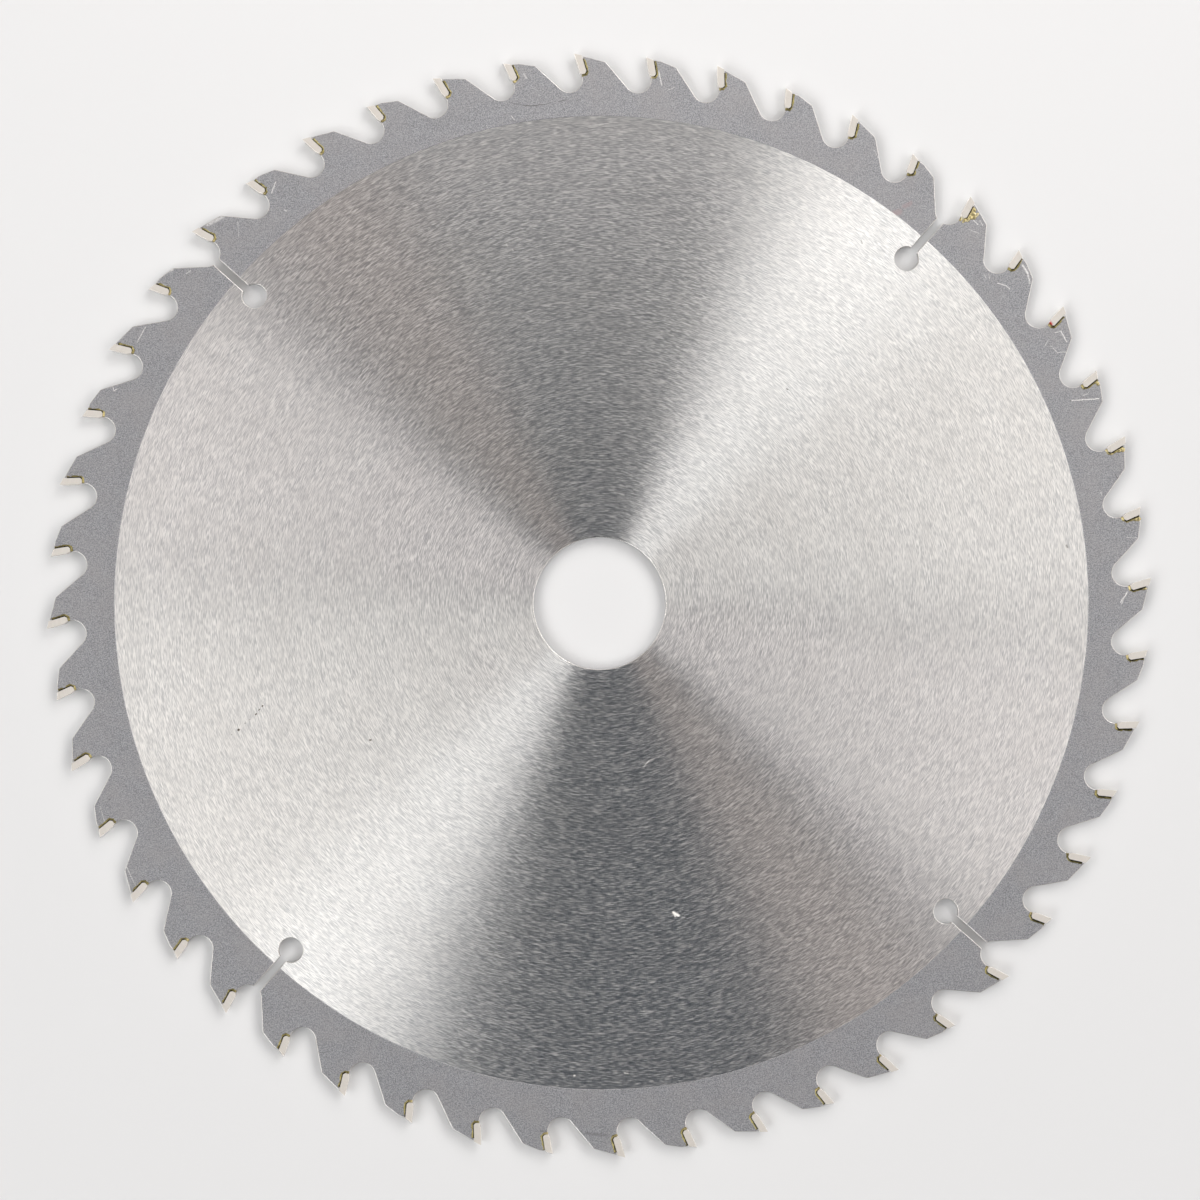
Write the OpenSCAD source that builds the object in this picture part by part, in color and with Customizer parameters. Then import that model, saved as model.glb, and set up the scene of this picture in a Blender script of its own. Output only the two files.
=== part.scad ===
// A carbide-tipped circular saw blade: a laser-cut steel plate with gullets, tip seats and
// expansion slots, a ring of ground carbide tips, and the braze that holds each tip in its seat.
// The bore's axis is Z, the first tip lies on +X, and the teeth cut anticlockwise seen from +Z.

/* [Blade] */
// Cutting diameter, over the highest corners of the tips
blade_d = 250; // [230:1:270]
// Number of teeth, even so that the bevels alternate
teeth = 48; // [42:2:54]
// Diameter of the arbor bore
bore_d = 30; // [20:0.5:40]
// Thickness of the steel plate at the rim
plate_t = 2.2; // [1.8:0.1:2.4]

/* [Carbide tips] */
// Width of the cut: the tips' width at the cutting edge
kerf = 3.2; // [3.0:0.1:3.8]
// Thickness of a tip, from its rake face to its back
tip_t = 1.5; // [1.2:0.05:1.8]
// Length of a tip along its rake face
tip_len = 5; // [4.5:0.1:5.5]
// Hook: lean of the rake face from the radius
hook_a = 14; // [10:0.5:18]
// Clearance of the ground top behind the cutting edge
top_a = 15; // [10:0.5:18]
// Alternate bevel of the ground top across the kerf
bevel_a = 11; // [5:0.5:15]
// Side clearance along the radius, narrowing towards the heel
radial_a = 1.2; // [0.5:0.1:1.5]
// Side clearance behind the rake face, narrowing towards the back
tangent_a = 2; // [1:0.1:3]
// Depth of the chamfer at the foot of the rake face
heel_cut = 0.3; // [0.1:0.05:0.5]
// Length of that chamfer along the rake face
heel_cut_len = 1; // [0.5:0.1:1.5]
// Chamfer on the corner between the tip's back and its heel
heel_corner = 0.4; // [0.2:0.05:0.6]

/* [Braze] */
// Thickness of the braze between a tip and its seat
braze_t = 0.15; // [0.1:0.01:0.25]
// Width of the braze fillet on the plate's faces, from the tip's back
fillet_w = 0.65; // [0.4:0.05:0.8]
// Height of the braze fillet above the plate's faces
fillet_h = 0.25; // [0.15:0.01:0.3]

/* [Gullets and tooth backs] */
// Depth of a gullet below the cutting circle
gullet_depth = 8.75; // [8.5:0.05:10]
// Radius of a gullet's floor
gullet_r = 3; // [2.6:0.05:3.2]
// How far the gullet's wall stands behind the front of the tip's heel
wall_back = 0.09; // [0:0.01:0.3]
// Angle between the long flank of a gullet and the tooth's radius
flank_a = 45; // [42:0.5:48]
// Fall of the tooth's back behind the cutting edge
land_a = 17.4; // [16:0.1:20]
// Radius of the corner where the tooth's back meets the flank behind it
corner_r = 1; // [0.5:0.1:1.5]
// How far the ground shoulder behind a tip lies below the cutting circle
shoulder_drop = 0.85; // [0.75:0.01:1.1]

/* [Expansion slots] */
// Number of slots round the rim
slots = 4; // [2:1:6]
// Width of a slot
slot_w = 1.8; // [1:0.1:3]
// Length of a slot from the gullet's floor to the middle of its end hole
slot_len = 11.5; // [8:0.5:16]
// Diameter of the hole that ends a slot
slot_hole_d = 5.6; // [4:0.1:8]

/* [Ground zone] */
// Diameter of the ground middle of each face
ground_d = 220.6; // [180:0.2:222]
// Depth of the grinding below the rim, on each face
ground_depth = 0.05; // [0.02:0.01:0.1]
// How far the ground zone's middle lies off the bore's axis, towards the first slot
ground_off = 0.75; // [0:0.05:1]

/* [Hidden] */
$fn = 120;
blade_r = blade_d / 2;
pitch_a = 360 / teeth;
pitch_len = PI * blade_d / teeth;
plate_h = plate_t / 2;
// Cutters run this far past the surfaces that they open
over = 1;
// Straight cuts pass this far inside the arcs that they run into
sink = 0.02;
// Front corner of a tip's heel, ahead of the tooth's radius
heel_y = -heel_cut * cos(hook_a) - tip_len * sin(hook_a);
// Centre of a gullet's floor in its tooth's frame
gullet_x = blade_r - gullet_depth + gullet_r;
gullet_y = heel_y - wall_back + gullet_r;
gullet_a = atan2(gullet_y, gullet_x);
// Straight cuts into a gullet's floor keep this far from its centre
reach = gullet_r - sink;
// Where the long flank runs into the floor
flank_foot = [gullet_x - reach * sin(flank_a), gullet_y + reach * cos(flank_a)];
// Radius on which the slots' end holes lie
slot_hole_r = norm([gullet_x, gullet_y]) - gullet_r - slot_len;
// Reach of the tooth's back behind the cutting edge, to where the next gullet has opened
land_len = pitch_len - 2 * gullet_r;
// Upper end of the braze, level with the low side of the ground shoulder
braze_top = -(shoulder_drop + plate_h * tan(bevel_a) + (tip_t + fillet_w) * sin(hook_a)) / cos(hook_a);
// Shift of a corner point for each unit that an outline moves out, on a half-square corner
mitre = tan(22.5);

steel_color = [0.63, 0.63, 0.65];
carbide_color = [0.83, 0.81, 0.75];
braze_color = [0.58, 0.50, 0.27];

function tip_name(i) = str("tip_", i < 10 ? "0" : "", i);

// 1 where a tip's high corner is on the +Z side, -1 where it is on the other side
function high_side(i) = i % 2 == 1 ? 1 : -1;

// Tooth whose gullet holds slot k
function slot_tooth(k) = 1 + round((k + 0.5) * teeth / slots);

// Back and heel of a tip moved out by d, from the top of the braze to the front of the heel
function seat_path(d) = [
    [tip_t + d, braze_top],
    [tip_t + d, heel_corner - tip_len - d * mitre],
    [tip_t - heel_corner + d * mitre, -tip_len - d],
    [heel_cut, -tip_len - d]
];

// Point p turned about the bore by angle a
function turned(p, a) = [p[0] * cos(a) - p[1] * sin(a), p[0] * sin(a) + p[1] * cos(a)];

// Point at distance d from two lines, each given by a point and the normal into the steel
function corner_point(p, p_normal, q, q_normal, d) =
    let (
        p_far = d + p * p_normal,
        q_far = d + q * q_normal,
        area = p_normal[0] * q_normal[1] - p_normal[1] * q_normal[0]
    )
    [
        (p_far * q_normal[1] - q_far * p_normal[1]) / area,
        (q_far * p_normal[0] - p_far * q_normal[0]) / area
    ];

// Frame of tooth i: X along its radius, Y ahead in the cutting direction
module tooth_frame(i) {
    rotate([0, 0, (i - 1) * pitch_a])
        children();
}

// Frame of a tip: X from the rake face to the back, Y up the rake face, cutting edge at zero
module tip_frame() {
    translate([blade_r, 0, 0])
        rotate([0, 0, hook_a - 90])
            children();
}

// Opening ahead of a tip: round floor, long flank behind the next tooth, wall below the heel
module gullet_cut() {
    flank_len = (blade_r + over - flank_foot[0]) / cos(flank_a);
    flank_end = flank_foot + flank_len * [cos(flank_a), sin(flank_a)];
    wall_y = gullet_y - reach;
    translate([gullet_x, gullet_y])
        circle(r = gullet_r);
    polygon([flank_foot, flank_end, [blade_r + over, wall_y], [gullet_x, wall_y]]);
}

// Slope of the tooth's back, falling away behind the cutting edge
module land_cut() {
    fall = land_len * tan(land_a);
    polygon([
        [blade_r, 0],
        [blade_r + over, 0],
        [blade_r + over, -land_len],
        [blade_r - fall, -land_len]
    ]);
}

// Rounding of the corner between the tooth's back and the flank of the gullet behind it
module corner_cut() {
    edge = [blade_r, 0];
    land_normal = [-cos(land_a), sin(land_a)];
    foot = turned(flank_foot, -pitch_a);
    flank_normal = turned([-sin(flank_a), cos(flank_a)], -pitch_a);
    depth = corner_r - sink;
    centre = corner_point(edge, land_normal, foot, flank_normal, depth);
    sharp = corner_point(edge, land_normal, foot, flank_normal, -sink);
    difference() {
        polygon([centre, centre - depth * land_normal, sharp, centre - depth * flank_normal]);
        translate(centre)
            circle(r = corner_r);
    }
}

// Seat of a tip: its back and heel moved out by the braze, open to the gullet and the rim
module seat_cut() {
    wall = seat_path(braze_t);
    tip_frame()
        polygon([
            [-over, wall[3][1]],
            wall[2],
            wall[1],
            [wall[0][0], over],
            [-over, over]
        ]);
}

// Expansion slot: a narrow radial cut from the gullet's floor to a round hole
module slot_cut() {
    rotate(gullet_a) {
        translate([slot_hole_r, -slot_w / 2])
            square([slot_len + gullet_r, slot_w]);
        translate([slot_hole_r, 0])
            circle(d = slot_hole_d);
    }
}

module plate_outline() {
    difference() {
        circle(r = blade_r);
        circle(d = bore_d);
        for (i = [1:teeth])
            tooth_frame(i) {
                gullet_cut();
                land_cut();
                corner_cut();
                seat_cut();
            }
        for (k = [0:slots - 1])
            tooth_frame(slot_tooth(k))
                slot_cut();
    }
}

// Shoulder behind tip i, ground to the same bevel as the tip's top
module shoulder_grind(i) {
    translate([blade_r - shoulder_drop, -land_len, 0])
        rotate([0, high_side(i) * bevel_a, 0])
            translate([0, 0, -plate_t])
                cube([shoulder_drop + over, land_len, 2 * plate_t]);
}

module saw_plate() {
    color(steel_color)
        difference() {
            linear_extrude(height = plate_t, center = true)
                plate_outline();
            for (i = [1:teeth])
                tooth_frame(i)
                    shoulder_grind(i);
            for (z = [plate_h - ground_depth, -plate_h - over])
                translate([ground_off * cos(45), ground_off * sin(45), z])
                    cylinder(d = ground_d, h = ground_depth + over);
        }
}

// Top of a tip: clearance behind the edge and a bevel that falls away from its high corner
module top_grind(side) {
    across_a = atan(tan(bevel_a) * cos(hook_a + top_a));
    translate([0, 0, side * kerf / 2])
        rotate([-side * across_a, 0, -hook_a - top_a])
            translate([-tip_t, 0, -2 * kerf])
                cube([4 * tip_t, tip_len, 4 * kerf]);
}

// One side of a tip: clearance towards the heel and towards the back
module side_grind(side) {
    along_a = atan(tan(radial_a) * cos(tangent_a));
    translate([0, 0, side * kerf / 2])
        rotate([side * along_a, side * tangent_a, 0])
            translate([-tip_t, -2 * tip_len, side > 0 ? 0 : -over])
                cube([4 * tip_t, 4 * tip_len, over]);
}

module tip(i) {
    color(carbide_color)
        tooth_frame(i)
            tip_frame()
                difference() {
                    linear_extrude(height = kerf, center = true)
                        polygon([
                            [0, over],
                            [0, heel_cut_len - tip_len],
                            [heel_cut, -tip_len],
                            [tip_t - heel_corner, -tip_len],
                            [tip_t, heel_corner - tip_len],
                            [tip_t, over]
                        ]);
                    top_grind(high_side(i));
                    side_grind(1);
                    side_grind(-1);
                }
}

// Braze of one tip: a thin layer in the seat that spreads into a fillet on both faces
module braze_joint() {
    // Distance from the tip and height across the plate, round the braze's section
    section = [
        [0, plate_h + fillet_h],
        [fillet_w, plate_h],
        [braze_t, plate_h],
        [braze_t, -plate_h],
        [fillet_w, -plate_h],
        [0, -plate_h - fillet_h]
    ];
    n = len(section);
    last = len(seat_path(0)) - 1;
    polyhedron(
        points = [
            for (k = [0:last], s = section)
                [seat_path(s[0])[k][0], seat_path(s[0])[k][1], s[1]]
        ],
        faces = concat(
            [[2, 1, 0], [5, 3, 2, 0], [5, 4, 3]],
            [
                for (k = [0:last - 1], j = [0:n - 1])
                    [k * n + j, k * n + (j + 1) % n, (k + 1) * n + (j + 1) % n, (k + 1) * n + j]
            ],
            [for (f = [[0, 1, 2], [0, 2, 3, 5], [3, 4, 5]]) [for (j = f) last * n + j]]
        )
    );
}

module braze() {
    color(braze_color)
        for (i = [1:teeth])
            tooth_frame(i)
                tip_frame()
                    braze_joint();
}

saw_plate();
braze();
for (i = [1:teeth])
    tip(i);
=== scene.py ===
"""Dresses a carbide-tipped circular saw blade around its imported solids."""

import logging
import math
from dataclasses import dataclass, field
from enum import Enum, IntEnum
from typing import Optional, Union

import bmesh
import bpy
from bmesh.types import BMEdge, BMesh, BMFace, BMLayerItem, BMVert
from mathutils import Matrix, Vector, noise


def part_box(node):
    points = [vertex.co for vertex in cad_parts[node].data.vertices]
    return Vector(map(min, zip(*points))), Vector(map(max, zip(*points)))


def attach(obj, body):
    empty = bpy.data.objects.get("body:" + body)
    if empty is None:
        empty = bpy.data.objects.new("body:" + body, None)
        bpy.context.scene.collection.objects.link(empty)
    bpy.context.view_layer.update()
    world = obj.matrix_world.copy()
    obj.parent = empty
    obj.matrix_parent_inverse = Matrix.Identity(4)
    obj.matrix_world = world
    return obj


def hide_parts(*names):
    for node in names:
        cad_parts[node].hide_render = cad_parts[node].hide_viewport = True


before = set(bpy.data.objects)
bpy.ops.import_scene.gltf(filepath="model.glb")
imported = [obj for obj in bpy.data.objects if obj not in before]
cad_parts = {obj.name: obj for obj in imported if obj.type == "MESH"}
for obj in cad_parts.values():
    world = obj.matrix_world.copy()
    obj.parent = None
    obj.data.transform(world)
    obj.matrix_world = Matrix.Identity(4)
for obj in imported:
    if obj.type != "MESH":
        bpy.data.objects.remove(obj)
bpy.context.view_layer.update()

MM = 0.001
LOG = logging.getLogger("saw_blade")

Colour = tuple[float, float, float]
Pair = tuple[float, float]
Socket = bpy.types.NodeSocket
Plug = Union[float, tuple, Vector, Socket]


def turned(angle: float) -> Matrix:
    """Gives a turn about the blade's axis, in degrees."""
    return Matrix.Rotation(math.radians(angle), 4, "Z")


def clamp(value: float) -> float:
    """Keeps a value between 0 and 1."""
    return min(1.0, max(0.0, value))


def toned(colour: Colour, share: float) -> Colour:
    """Makes a colour darker or lighter by a share, but not past white."""
    return tuple(min(1.0, share * c) for c in colour)


class Zone(IntEnum):
    """Parts of the plate's surface, in the order of its material slots."""

    GROUND = 0
    RIM = 1
    EDGE = 2
    BORE = 3


class Mix(Enum):
    """Ways to lay one colour over another."""

    OVER = "MIX"
    DARKEN = "MULTIPLY"


@dataclass(frozen=True)
class BladeSizes:
    """The blade's named sizes, in millimetres and degrees."""

    blade_d: float = 250.0
    teeth: int = 48
    bore_d: float = 30.0
    plate_t: float = 2.2
    tip_t: float = 1.5
    tip_len: float = 5.0
    hook_a: float = 14.0
    bevel_a: float = 11.0
    heel_cut: float = 0.3
    heel_corner: float = 0.4
    braze_t: float = 0.15
    fillet_w: float = 0.65
    gullet_depth: float = 8.75
    gullet_r: float = 3.0
    wall_back: float = 0.09
    flank_a: float = 45.0
    land_a: float = 17.4
    corner_r: float = 1.0
    shoulder_drop: float = 0.85
    slots: int = 4
    slot_w: float = 1.8
    slot_len: float = 11.5
    slot_hole_d: float = 5.6
    ground_d: float = 220.6
    ground_depth: float = 0.05
    ground_runout: float = 0.135
    ground_off: float = 0.75
    sink: float = 0.02

    @property
    def blade_r(self) -> float:
        """Radius over the highest corners of the tips."""
        return self.blade_d / 2

    @property
    def plate_h(self) -> float:
        """Half the plate's thickness."""
        return self.plate_t / 2

    @property
    def ground_h(self) -> float:
        """Half the thickness of the ground middle."""
        return self.plate_h - self.ground_depth

    @property
    def pitch_a(self) -> float:
        """Angle from one tooth to the next."""
        return 360.0 / self.teeth

    @property
    def reach(self) -> float:
        """Distance from a gullet's centre to the straight cuts that run into its floor."""
        return self.gullet_r - self.sink

    @property
    def gullet_centre(self) -> Vector:
        """Centre of a gullet's floor in its tooth's frame."""
        hook = math.radians(self.hook_a)
        heel_y = -self.heel_cut * math.cos(hook) - self.tip_len * math.sin(hook)
        x = self.blade_r - self.gullet_depth + self.gullet_r
        return Vector((x, heel_y - self.wall_back + self.gullet_r, 0.0))

    @property
    def gullet_a(self) -> float:
        """Angle of a gullet's centre ahead of its tooth."""
        centre = self.gullet_centre
        return math.degrees(math.atan2(centre.y, centre.x))

    @property
    def slot_hole_r(self) -> float:
        """Radius on which the slots' end holes lie."""
        return self.gullet_centre.length - self.gullet_r - self.slot_len

    @property
    def ground_centre(self) -> Vector:
        """Middle of the ground zone."""
        side = self.ground_off * math.sqrt(0.5)
        return Vector((side, side, 0.0))

    def tooth_a(self, tooth: int) -> float:
        """Angle of a tooth's frame."""
        return (tooth - 1) * self.pitch_a

    def slot_tooth(self, slot: int) -> int:
        """Tooth whose gullet holds a slot."""
        return 1 + round((slot + 0.5) * self.teeth / self.slots)

    def high_side(self, tooth: int) -> int:
        """1 where a tip's high corner is on the upper face, -1 where it is on the other."""
        return 1 if tooth % 2 == 1 else -1

    def tip_point(self, back: float, up: float, height: float = 0.0) -> Vector:
        """Turns a point of a tip's frame into its tooth's frame.

        Args:
            back: Distance behind the rake face.
            up: Distance up the rake face from the cutting edge.
            height: Distance across the plate.

        Returns:
            The same point in the tooth's frame.
        """
        hook = math.radians(self.hook_a)
        x = self.blade_r + back * math.sin(hook) + up * math.cos(hook)
        return Vector((x, -back * math.cos(hook) + up * math.sin(hook), height))


class OutlinePen:
    """Draws a closed outline of lines and arcs, and fills it with one flat face."""

    def __init__(self, bm: BMesh) -> None:
        """Takes the mesh to draw in.

        Args:
            bm: Mesh that gets the outline.
        """
        self.bm = bm
        self.path: list[BMVert] = []
        self.frame = Matrix.Identity(4)

    def turn(self, angle: float) -> None:
        """Turns the frame of the next points about the bore, in degrees."""
        self.frame = turned(angle)

    def line(self, point: Vector) -> BMVert:
        """Draws a line to a point, or starts the outline there.

        Args:
            point: End of the line in the pen's frame.

        Returns:
            The vertex at the end of the line.
        """
        vert = self.bm.verts.new(self.frame @ point)
        if self.path:
            self.bm.edges.new((self.path[-1], vert))
        self.path.append(vert)
        return vert

    def arc(self, centre: Vector, sweep: float, steps: int) -> None:
        """Draws an arc by spinning the last point.

        Args:
            centre: Centre of the arc in the pen's frame.
            sweep: Angle of the arc in degrees, anticlockwise.
            steps: Number of short lines in the arc.
        """
        vert = self.path[-1]
        seen = set(vert.link_edges)
        bmesh.ops.spin(
            self.bm, geom=[vert], cent=self.frame @ centre, axis=(0, 0, 1), dvec=(0, 0, 0),
            angle=math.radians(sweep), steps=steps, use_merge=False, use_duplicate=False,
        )
        for _ in range(steps):
            edge = next(e for e in vert.link_edges if e not in seen)
            seen.add(edge)
            vert = edge.other_vert(vert)
            self.path.append(vert)

    def fill(self, zone: Zone) -> None:
        """Closes the outline and fills it with one face of a zone."""
        self.bm.faces.new(self.path).material_index = int(zone)


@dataclass(frozen=True)
class Mark:
    """A scratch, dent, speck or stain along a short line on the upper face, in millimetres."""

    start: Pair
    end: Pair
    width: float
    strength: float

    @classmethod
    def rows(cls, *rows: tuple[float, ...]) -> tuple["Mark", ...]:
        """Makes marks of rows that hold start, end, width and strength."""
        return tuple(cls(row[:2], row[2:4], *row[4:]) for row in rows)


class NodeGraph:
    """A node tree, with short ways to add and join its nodes."""

    # Range in which most of a noise lies.
    USUAL = (0.3, 0.7)

    def __init__(self, tree: bpy.types.NodeTree) -> None:
        """Takes the tree to work in."""
        self.tree = tree

    def node(self, kind: str, **settings: object) -> bpy.types.Node:
        """Adds a node and sets its properties.

        Args:
            kind: Blender's name for the type of node.
            **settings: The properties and their values.

        Returns:
            The node.
        """
        made = self.tree.nodes.new(kind)
        for name, value in settings.items():
            setattr(made, name, value)
        return made

    def plug(self, socket: Socket, value: Plug) -> None:
        """Links another node's output to a socket, or sets the socket's own value.

        Args:
            socket: Socket to feed.
            value: An output, a number, a vector or a colour.
        """
        if isinstance(value, Socket):
            self.tree.links.new(value, socket)
        elif isinstance(value, tuple) and len(value) == 3 and socket.type == "RGBA":
            socket.default_value = (*value, 1.0)
        else:
            socket.default_value = value

    def math(self, operation: str, a: Plug, b: Plug = 0.0, c: Plug = 0.0) -> Socket:
        """Adds a Math node.

        Args:
            operation: Blender's name for the operation.
            a: First value.
            b: Second value.
            c: Third value.

        Returns:
            The result.
        """
        made = self.node("ShaderNodeMath", operation=operation)
        for socket, value in zip(made.inputs, (a, b, c)):
            self.plug(socket, value)
        return made.outputs[0]

    def vector(self, operation: str, a: Plug, b: Plug = (0.0, 0.0, 0.0)) -> bpy.types.Node:
        """Adds a Vector Math node of one or two vectors.

        Args:
            operation: Blender's name for the operation.
            a: First vector.
            b: Second vector.

        Returns:
            The node, whose outputs differ by operation.
        """
        made = self.node("ShaderNodeVectorMath", operation=operation)
        self.plug(made.inputs[0], a)
        self.plug(made.inputs[1], b)
        return made

    def place(self, centre: Optional[Vector] = None) -> Socket:
        """Gives the surface's place.

        Args:
            centre: Point to measure from, in millimetres.

        Returns:
            The place in metres.
        """
        coords = self.node("ShaderNodeTexCoord").outputs["Object"]
        if centre is None:
            return coords
        return self.vector("SUBTRACT", coords, tuple(centre * MM)).outputs[0]

    def radial(self, place: Socket) -> tuple[Socket, ...]:
        """Splits a place into a direction from the blade's axis and a radius.

        Args:
            place: Surface point in metres.

        Returns:
            The flat unit direction and the radius in metres.
        """
        flat = self.vector("MULTIPLY", place, (1.0, 1.0, 0.0)).outputs[0]
        unit = self.vector("NORMALIZE", flat).outputs[0]
        return unit, self.vector("LENGTH", flat).outputs["Value"]

    def rings(
        self, place: Socket, radius: Socket, length: float, pitch: float
    ) -> Socket:
        """Gives coordinates in which grinding strokes round the blade have one size.

        Args:
            place: Surface point in metres.
            radius: Its radius in metres.
            length: Length of a stroke in millimetres.
            pitch: Width of a stroke in millimetres.

        Returns:
            The coordinates as a vector.
        """
        along = self.vector("SCALE", place)
        along.inputs["Scale"].default_value = 1.0 / (length * MM)
        up = self.node("ShaderNodeCombineXYZ")
        self.plug(up.inputs["Z"], self.math("MULTIPLY", radius, 1.0 / (pitch * MM)))
        return self.vector("ADD", along.outputs[0], up.outputs[0]).outputs[0]

    def noise(
        self, coords: Plug, scale: float, detail: float = 2.0, roughness: float = 0.5
    ) -> Socket:
        """Adds a Noise texture.

        Args:
            coords: Coordinates of the noise.
            scale: Lumps in one unit of the coordinates.
            detail: Number of finer layers.
            roughness: Strength of the finer layers.

        Returns:
            The grey value.
        """
        made = self.node("ShaderNodeTexNoise")
        self.plug(made.inputs["Vector"], coords)
        made.inputs["Scale"].default_value = scale
        made.inputs["Detail"].default_value = detail
        made.inputs["Roughness"].default_value = roughness
        return made.outputs["Fac"]

    def remap(
        self, value: Plug, low: float, high: float, to_low: float = 0.0, to_high: float = 1.0
    ) -> Socket:
        """Stretches a range of values to another and clamps it.

        Args:
            value: Value to change.
            low: Low end of its range.
            high: High end of its range.
            to_low: What the low end becomes.
            to_high: What the high end becomes.

        Returns:
            The new value.
        """
        made = self.node("ShaderNodeMapRange", clamp=True)
        for socket, number in zip(made.inputs, (value, low, high, to_low, to_high)):
            self.plug(socket, number)
        return made.outputs[0]

    def swing(self, value: Plug, middle: float, swing: float) -> Socket:
        """Lets a noise's usual range swing a number about its middle.

        Args:
            value: The noise.
            middle: Number that a middling noise gives.
            swing: What the high end adds and the low end takes away.

        Returns:
            The number's socket.
        """
        return self.remap(value, *self.USUAL, middle - swing, middle + swing)

    def mix(self, amount: Plug, a: Plug, b: Plug, way: Mix = Mix.OVER) -> Socket:
        """Mixes two colours by an amount.

        Args:
            amount: 0 for the first colour only, 1 for the second in full.
            a: First colour.
            b: Second colour.
            way: How the second is laid over the first.

        Returns:
            The mixed colour.
        """
        made = self.node("ShaderNodeMix", data_type="RGBA", blend_type=way.value)
        # The colours are inputs 6 and 7 and output 2, after those of the other data types.
        self.plug(made.inputs[0], amount)
        self.plug(made.inputs[6], a)
        self.plug(made.inputs[7], b)
        return made.outputs[2]

    def bump(self, height: Plug, strength: float, distance: float) -> Socket:
        """Turns a height into a bent normal.

        Args:
            height: Height from 0 to 1.
            strength: Share of the bend that shows.
            distance: Height of a 1, in millimetres.

        Returns:
            The normal.
        """
        made = self.node("ShaderNodeBump")
        made.inputs["Strength"].default_value = strength
        made.inputs["Distance"].default_value = distance * MM
        self.plug(made.inputs["Height"], height)
        return made.outputs[0]


class MarkLine(NodeGraph):
    """Node group that tells how close a place is to a short line."""

    NAME = "mark_line"
    # Share of a mark's width that shows in full.
    CORE = 0.35
    VECTORS = ("Place", "Start", "Along")
    FLOATS = ("Width", "Strength")

    def __init__(self) -> None:
        """Makes the group."""
        super().__init__(bpy.data.node_groups.new(self.NAME, "ShaderNodeTree"))
        sides = self.tree.interface
        for name in self.VECTORS:
            sides.new_socket(name, in_out="INPUT", socket_type="NodeSocketVector")
        for name in self.FLOATS:
            sides.new_socket(name, in_out="INPUT", socket_type="NodeSocketFloat")
        sides.new_socket("Amount", in_out="OUTPUT", socket_type="NodeSocketFloat")
        given = self.node("NodeGroupInput").outputs
        along = given["Along"]
        out = self.vector("SUBTRACT", given["Place"], given["Start"]).outputs[0]
        run = self.vector("DOT_PRODUCT", out, along).outputs["Value"]
        share = self.node("ShaderNodeMath", operation="DIVIDE", use_clamp=True)
        self.plug(share.inputs[0], run)
        self.plug(share.inputs[1], self.vector("DOT_PRODUCT", along, along).outputs["Value"])
        foot = self.vector("SCALE", along)
        self.plug(foot.inputs["Scale"], share.outputs[0])
        off = self.vector("DISTANCE", out, foot.outputs[0]).outputs["Value"]
        near = self.remap(self.math("DIVIDE", off, given["Width"]), self.CORE, 1.0, 1.0, 0.0)
        amount = self.math("MULTIPLY", near, given["Strength"])
        self.plug(self.node("NodeGroupOutput").inputs["Amount"], amount)

    @classmethod
    def shared(cls) -> bpy.types.NodeTree:
        """Gives the one group that all marks use."""
        return bpy.data.node_groups.get(cls.NAME) or cls().tree


class ShaderGraph(NodeGraph):
    """A material's node tree."""

    # Scale of the noise that bends the marks.
    STRAY = 900.0

    def __init__(self, name: str) -> None:
        """Makes a material with a Principled shader.

        Args:
            name: Name of the material.
        """
        self.material = bpy.data.materials.new(name)
        self.material.use_nodes = True
        super().__init__(self.material.node_tree)
        self.tree.nodes.clear()
        self.shader = self.node("ShaderNodeBsdfPrincipled")
        output = self.node("ShaderNodeOutputMaterial")
        self.plug(output.inputs["Surface"], self.shader.outputs[0])

    def shade(self, **sockets: Plug) -> None:
        """Sets the shader's sockets by name, with underscores for spaces."""
        for name, value in sockets.items():
            self.plug(self.shader.inputs[name.replace("_", " ")], value)

    def marks(
        self, marks: tuple[Mark, ...], height: float, wander: float = 0.3
    ) -> Socket:
        """Gives how strongly any of some marks shows.

        Args:
            marks: The marks' lines.
            height: Height of their surface in millimetres.
            wander: How far a line strays from straight, in millimetres.

        Returns:
            A value from 0 to 1.
        """
        place = self.place()
        stray = self.node("ShaderNodeTexNoise")
        self.plug(stray.inputs["Vector"], place)
        stray.inputs["Scale"].default_value = self.STRAY
        even = self.vector("SUBTRACT", stray.outputs["Color"], (0.5, 0.5, 0.5))
        shift = self.vector("SCALE", even.outputs[0])
        shift.inputs["Scale"].default_value = wander * MM
        place = self.vector("ADD", place, shift.outputs[0]).outputs[0]
        shown = None
        for mark in marks:
            start = Vector((*mark.start, height)) * MM
            along = Vector((*mark.end, height)) * MM - start
            line = self.node("ShaderNodeGroup", node_tree=MarkLine.shared())
            values = (place, tuple(start), tuple(along), mark.width * MM, mark.strength)
            for socket, value in zip(line.inputs, values):
                self.plug(socket, value)
            near = line.outputs[0]
            shown = near if shown is None else self.math("MAXIMUM", shown, near)
        return shown


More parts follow.
